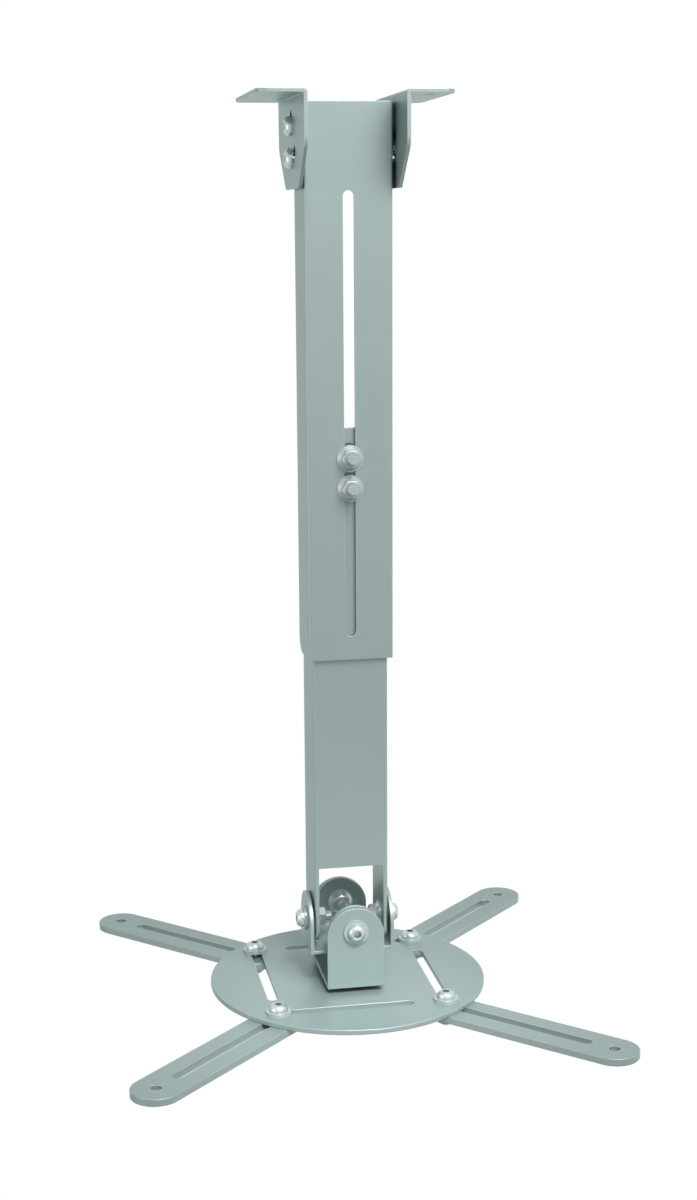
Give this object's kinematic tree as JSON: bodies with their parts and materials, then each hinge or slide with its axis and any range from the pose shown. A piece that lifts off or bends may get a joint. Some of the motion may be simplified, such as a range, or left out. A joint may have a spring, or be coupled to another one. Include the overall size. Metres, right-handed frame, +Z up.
{
  "type": "projector ceiling mount",
  "caption": "Telescopic ceiling mount for a projector: two ceiling brackets, a slotted channel pole, a tilt and roll joint, and a round plate with adjustable arms.",
  "frame": {"origin": "on the ceiling plane, straight above the axis on which the plate swivels", "axes": "+Z up along the pole, -Y the slotted front of the pole, +X to the right"},
  "size_m": [0.2884, 0.2884, 0.5383],
  "materials": {
    "silver_paint": "satin silver-grey paint on folded steel",
    "zinc": "bright zinc plate"
  },
  "bodies": {
    "ceiling_brackets": {"left_ceiling_bracket": "silver_paint", "right_ceiling_bracket": "silver_paint"},
    "outer_pole": {"outer_channel": "silver_paint", "bracket_pivot_screws": "zinc", "bracket_lock_screws": "zinc", "bracket_spacers": "zinc", "bracket_nuts": "zinc"},
    "inner_pole": {"inner_channel": "silver_paint", "height_bolts": "zinc", "height_nuts": "zinc"},
    "joint": {"joint_bracket": "silver_paint", "tilt_screws": "zinc", "tilt_head_washers": "zinc", "tilt_washers": "zinc", "tilt_nuts": "zinc", "roll_screws": "zinc", "roll_head_washers": "zinc", "roll_washers": "zinc", "roll_nuts": "zinc"},
    "yoke": {"yoke": "silver_paint", "swivel_bolt": "zinc", "swivel_washer": "zinc", "swivel_nut": "zinc"},
    "plate": {"mounting_plate": "silver_paint"},
    "arm_bolt_back_right": {"arm_screw_back_right": "zinc", "arm_washer_back_right": "zinc"},
    "arm_clamp_back_right": {"arm_nut_back_right": "zinc"},
    "arm_back_right": {"arm_back_right": "silver_paint"},
    "arm_bolt_back_left": {"arm_screw_back_left": "zinc", "arm_washer_back_left": "zinc"},
    "arm_clamp_back_left": {"arm_nut_back_left": "zinc"},
    "arm_back_left": {"arm_back_left": "silver_paint"},
    "arm_bolt_front_left": {"arm_screw_front_left": "zinc", "arm_washer_front_left": "zinc"},
    "arm_clamp_front_left": {"arm_nut_front_left": "zinc"},
    "arm_front_left": {"arm_front_left": "silver_paint"},
    "arm_bolt_front_right": {"arm_screw_front_right": "zinc", "arm_washer_front_right": "zinc"},
    "arm_clamp_front_right": {"arm_nut_front_right": "zinc"},
    "arm_front_right": {"arm_front_right": "silver_paint"}
  },
  "joints": [
    {"name": "ceiling_pitch", "type": "hinge", "parent": "ceiling_brackets", "child": "outer_pole", "pos_m": [0, -0.0018, -0.01727], "axis": [1, 0, 0], "range_deg": [-13, 11]},
    {"name": "height_slide", "type": "slide", "parent": "outer_pole", "child": "inner_pole", "axis": [0, 0, 1], "range_m": [-0.08, 0.14]},
    {"name": "tilt", "type": "hinge", "parent": "inner_pole", "child": "joint", "pos_m": [0, 0, -0.48287], "axis": [1, 0, 0], "range_deg": [-18, 18]},
    {"name": "roll", "type": "hinge", "parent": "joint", "child": "yoke", "pos_m": [0, 0, -0.48287], "axis": [0, 1, 0], "range_deg": [-20, 20]},
    {"name": "swivel", "type": "hinge", "parent": "yoke", "child": "plate", "pos_m": [0, 0, -0.52217], "axis": [0, 0, 1], "continuous": true},
    {"name": "bolt_slide_back_right", "type": "slide", "parent": "plate", "child": "arm_bolt_back_right", "axis": [-1, 0, 0], "range_m": [0, 0.07]},
    {"name": "arm_swing_back_right", "type": "hinge", "parent": "arm_bolt_back_right", "child": "arm_clamp_back_right", "pos_m": [0.0505, 0.0505, -0.52537], "axis": [0, 0, 1], "range_deg": [-60, 60]},
    {"name": "arm_reach_back_right", "type": "slide", "parent": "arm_clamp_back_right", "child": "arm_back_right", "axis": [0.7071, 0.7071, 0], "range_m": [-0.045, 0]},
    {"name": "bolt_slide_back_left", "type": "slide", "parent": "plate", "child": "arm_bolt_back_left", "axis": [0, -1, 0], "range_m": [0, 0.07]},
    {"name": "arm_swing_back_left", "type": "hinge", "parent": "arm_bolt_back_left", "child": "arm_clamp_back_left", "pos_m": [-0.0505, 0.0505, -0.52537], "axis": [0, 0, 1], "range_deg": [-60, 60]},
    {"name": "arm_reach_back_left", "type": "slide", "parent": "arm_clamp_back_left", "child": "arm_back_left", "axis": [-0.7071, 0.7071, 0], "range_m": [-0.045, 0]},
    {"name": "bolt_slide_front_left", "type": "slide", "parent": "plate", "child": "arm_bolt_front_left", "axis": [1, 0, 0], "range_m": [0, 0.07]},
    {"name": "arm_swing_front_left", "type": "hinge", "parent": "arm_bolt_front_left", "child": "arm_clamp_front_left", "pos_m": [-0.0505, -0.0505, -0.52537], "axis": [0, 0, 1], "range_deg": [-60, 60]},
    {"name": "arm_reach_front_left", "type": "slide", "parent": "arm_clamp_front_left", "child": "arm_front_left", "axis": [-0.7071, -0.7071, 0], "range_m": [-0.045, 0]},
    {"name": "bolt_slide_front_right", "type": "slide", "parent": "plate", "child": "arm_bolt_front_right", "axis": [0, 1, 0], "range_m": [0, 0.07]},
    {"name": "arm_swing_front_right", "type": "hinge", "parent": "arm_bolt_front_right", "child": "arm_clamp_front_right", "pos_m": [0.0505, -0.0505, -0.52537], "axis": [0, 0, 1], "range_deg": [-60, 60]},
    {"name": "arm_reach_front_right", "type": "slide", "parent": "arm_clamp_front_right", "child": "arm_front_right", "axis": [0.7071, -0.7071, 0], "range_m": [-0.045, 0]}
  ]
}
